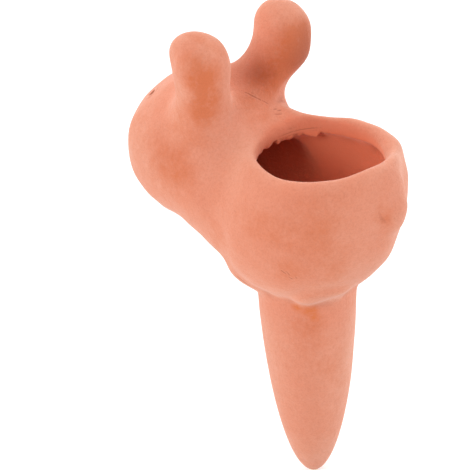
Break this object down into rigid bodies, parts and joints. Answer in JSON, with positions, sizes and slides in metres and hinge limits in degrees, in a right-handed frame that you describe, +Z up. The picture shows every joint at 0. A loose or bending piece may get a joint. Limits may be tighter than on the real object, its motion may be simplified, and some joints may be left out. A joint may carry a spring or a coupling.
{
  "type": "ceramic plant waterer",
  "caption": "Long-eared animal of unglazed terracotta with an open bowl for a body, a hollow head and a tapered watering spike below it that is pushed into potting soil.",
  "frame": {"origin": "on the axis of the spike at the soil line, level with the underside of the bowl", "axes": "+Z up along the axis of the spike, -Y towards the animal's face, +X towards the animal's left side"},
  "size_m": [0.0715, 0.1165, 0.182],
  "materials": {
    "terracotta": "unglazed, matte, slightly mottled",
    "ink": "brushed oxide, matte, dry"
  },
  "bodies": {
    "root": {"reservoir_bowl": "terracotta", "watering_spike": "terracotta", "head_shell": "terracotta", "left_ear": "terracotta", "right_ear": "terracotta", "front_left_foot": "terracotta", "front_right_foot": "terracotta", "rear_left_foot": "terracotta", "rear_right_foot": "terracotta", "tail": "terracotta"}
  },
  "joints": []
}
